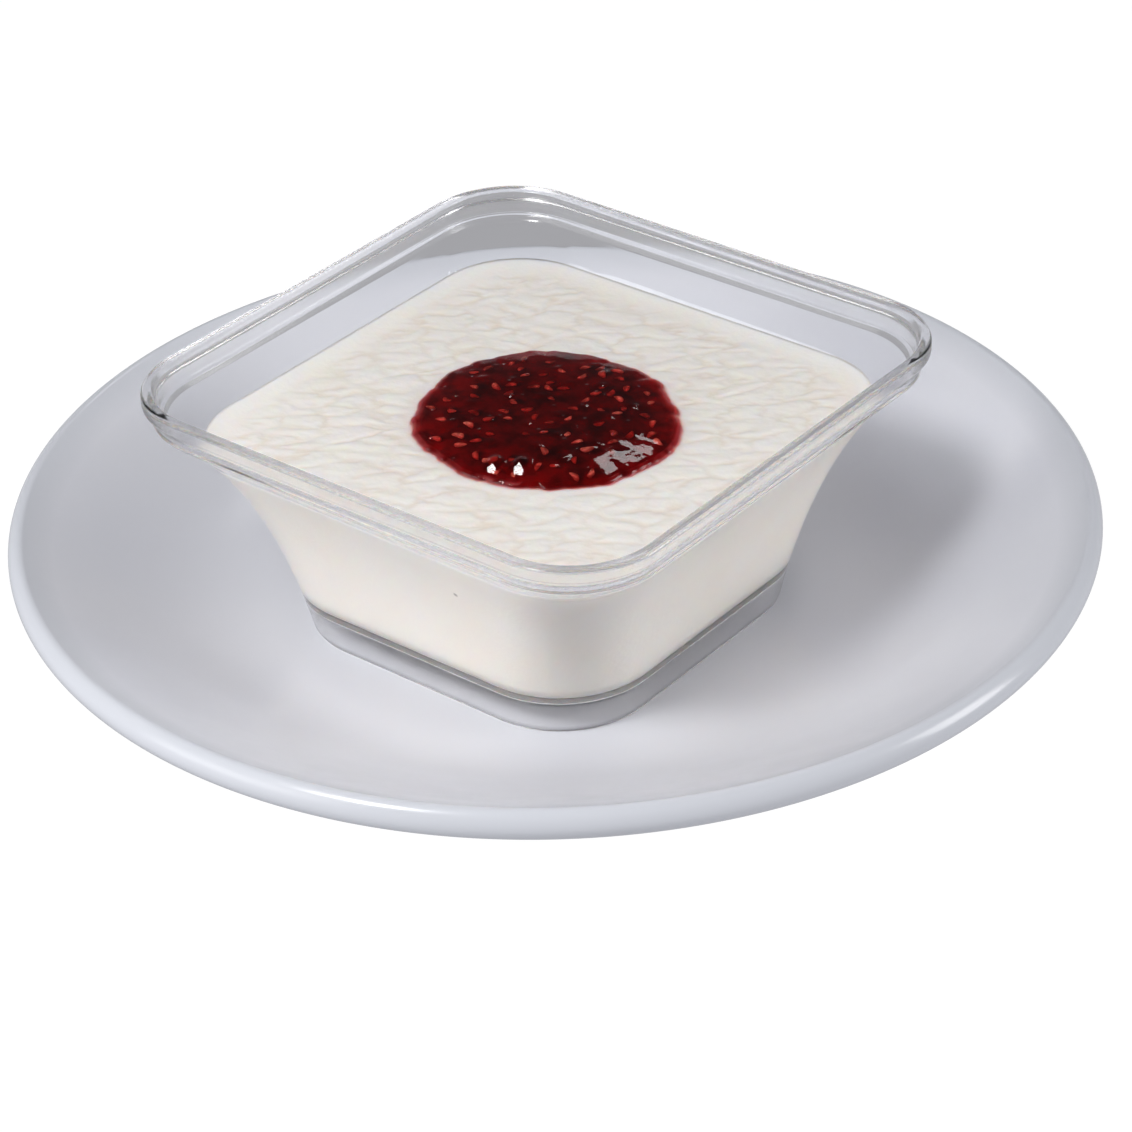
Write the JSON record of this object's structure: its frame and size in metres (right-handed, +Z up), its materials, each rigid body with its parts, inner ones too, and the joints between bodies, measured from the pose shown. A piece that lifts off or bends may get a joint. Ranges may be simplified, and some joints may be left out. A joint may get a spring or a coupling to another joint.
{
  "type": "milk pudding in a clear square dish on a plate",
  "caption": "Set milk pudding with a pool of raspberry jam, in a clear square footed dish that stands on a round white plate.",
  "frame": {"origin": "middle of the plate's foot, on the table", "axes": "+Z up; X and Y run along the square dish's walls, and the jam lies slightly towards +X from the dish's middle"},
  "size_m": [0.2, 0.2, 0.0558],
  "materials": {
    "plate": "glossy white glaze",
    "dish": "clear polished plastic",
    "pudding": "soft satin skin of set milk",
    "jam": "wet dark red jam with seeds"
  },
  "bodies": {
    "root": {"plate": "plate", "dish": "dish", "pudding": "pudding", "jam": "jam"}
  },
  "joints": []
}
